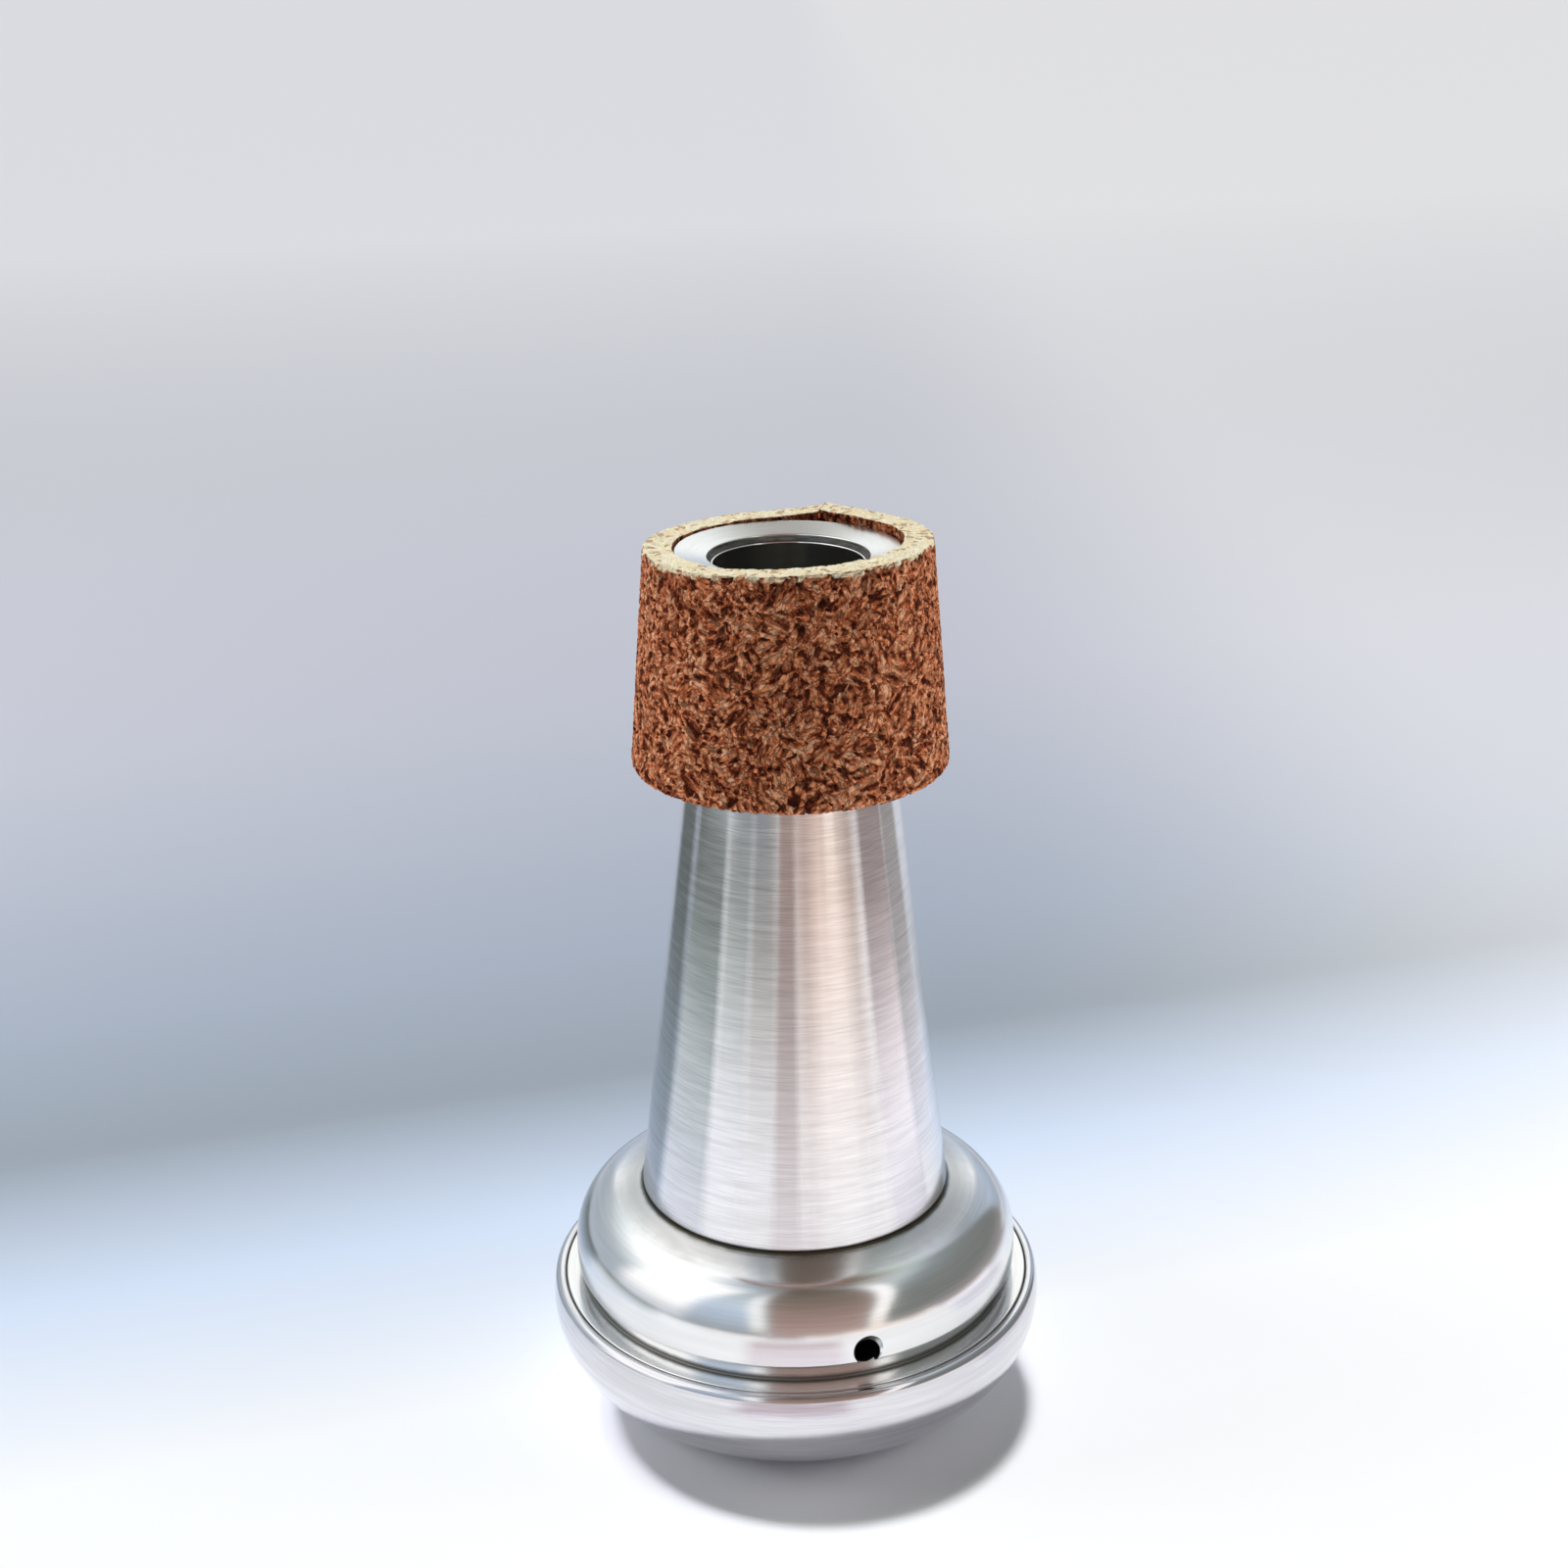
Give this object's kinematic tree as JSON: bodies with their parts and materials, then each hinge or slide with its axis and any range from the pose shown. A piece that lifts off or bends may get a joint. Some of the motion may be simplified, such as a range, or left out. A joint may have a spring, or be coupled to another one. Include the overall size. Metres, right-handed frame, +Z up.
{
  "type": "clarinet mute",
  "caption": "Clarinet mute: tapered metal tube on a domed, rounded metal cup that stands flat, with a wrapped cork collar at the narrow end and a small vent hole.",
  "frame": {"origin": "centre of the flat foot, on the surface that the mute stands on", "axes": "+Z up along the axis towards the mouth, +Y away from the front where the vent hole is seen, +X to the right"},
  "size_m": [0.06, 0.06, 0.106],
  "materials": {
    "brushed_cup": "brushed round the axis",
    "polished_dome": "polished",
    "brushed_cone": "finely brushed round the axis",
    "plain_metal": "as formed",
    "bright_plate": "satin, bright",
    "joint_compound": "dull, dark",
    "cement": "dull",
    "cork": "granular, dull"
  },
  "bodies": {
    "root": {"base_cup": "brushed_cup", "rim_joint_bead": "joint_compound", "dome_shell": "polished_dome", "cone_joint_bead": "joint_compound", "cone_shell": "brushed_cone", "head_sleeve": "plain_metal", "sleeve_lip_bead": "joint_compound", "end_plate": "bright_plate", "mouth_bead": "joint_compound", "cork_cement": "cement", "cork_collar": "cork"}
  },
  "joints": []
}
